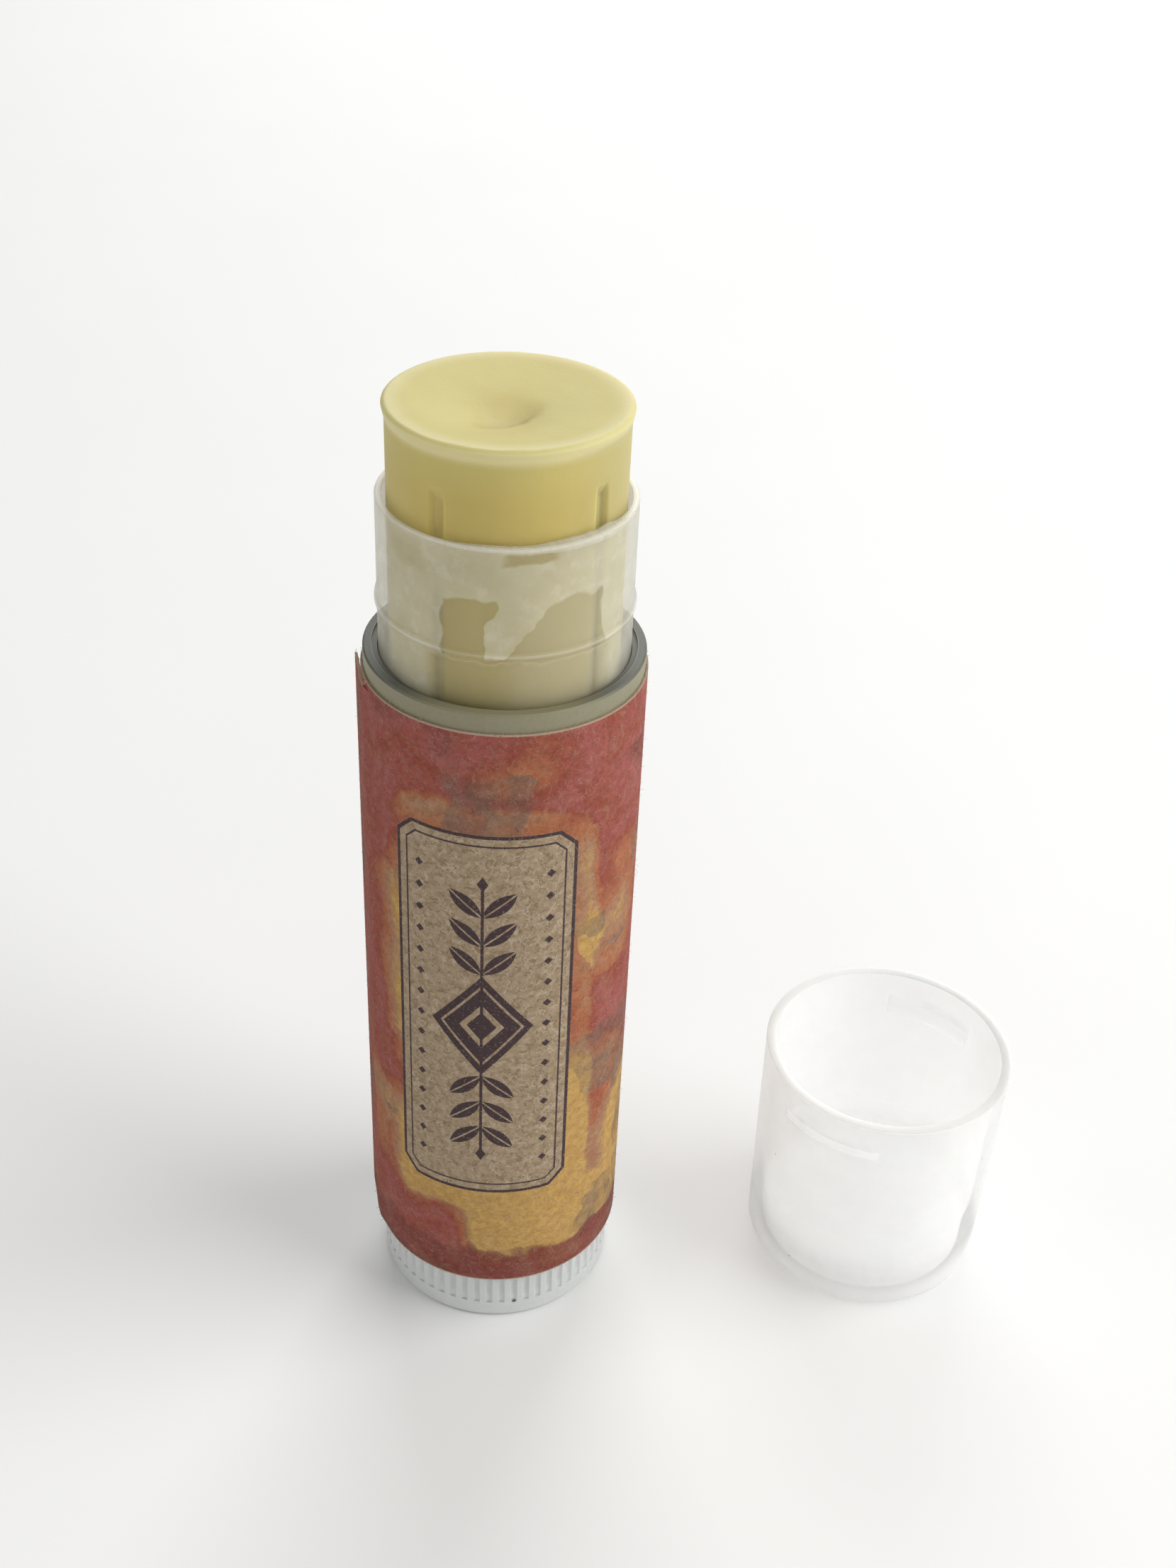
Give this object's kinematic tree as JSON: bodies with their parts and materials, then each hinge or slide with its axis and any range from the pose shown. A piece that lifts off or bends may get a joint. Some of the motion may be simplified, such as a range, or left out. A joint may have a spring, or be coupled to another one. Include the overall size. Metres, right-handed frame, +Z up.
{
  "type": "lip balm stick",
  "caption": "Twist-up lip balm stick with a ribbed base dial, screw-driven balm, clear neck, paper-wrapped sleeve and its pull-off cap standing beside it.",
  "frame": {"origin": "middle of the dial's flat underside, on the stick's axis, at the surface it stands on", "axes": "+Z up the stick's axis towards the balm, -Y towards the front of the label, +X towards the standing cap"},
  "size_m": [0.0427, 0.0171, 0.0626],
  "materials": {
    "sleeve_silver": "silver-pigmented moulded plastic, satin",
    "barrel_clear": "natural translucent polypropylene, smooth",
    "label_paper": "uncoated kraft paper printed with watercolour washes",
    "dial_silver": "silver-pigmented moulded plastic, satin",
    "screw_white": "natural white moulded plastic",
    "cup_white": "natural white moulded plastic",
    "balm_wax": "cast wax and oil balm, soft satin",
    "cap_frosted": "frosted translucent polypropylene"
  },
  "bodies": {
    "tube": {"outer_sleeve": "sleeve_silver", "inner_barrel": "barrel_clear", "label": "label_paper"},
    "dial": {"twist_dial": "dial_silver", "lead_screw": "screw_white"},
    "elevator": {"elevator_cup": "cup_white", "balm": "balm_wax"},
    "cap": {"cap": "cap_frosted"}
  },
  "joints": [
    {"name": "dial_twist", "type": "hinge", "parent": "tube", "child": "dial", "pos_m": [0, 0, 0], "axis": [0, 0, 1], "range_deg": [-749, 5365]},
    {"name": "elevator_slide", "type": "slide", "parent": "tube", "child": "elevator", "axis": [0, 0, 1], "range_m": [-0.0052, 0.03725]},
    {"name": "cap_lift", "type": "slide", "parent": "tube", "child": "cap", "axis": [0, 0, 1], "range_m": [0, 0.07]}
  ],
  "couplings": [
    {"joint": "dial_twist", "follows": "elevator_slide", "rad_per_m": 2513.3}
  ]
}
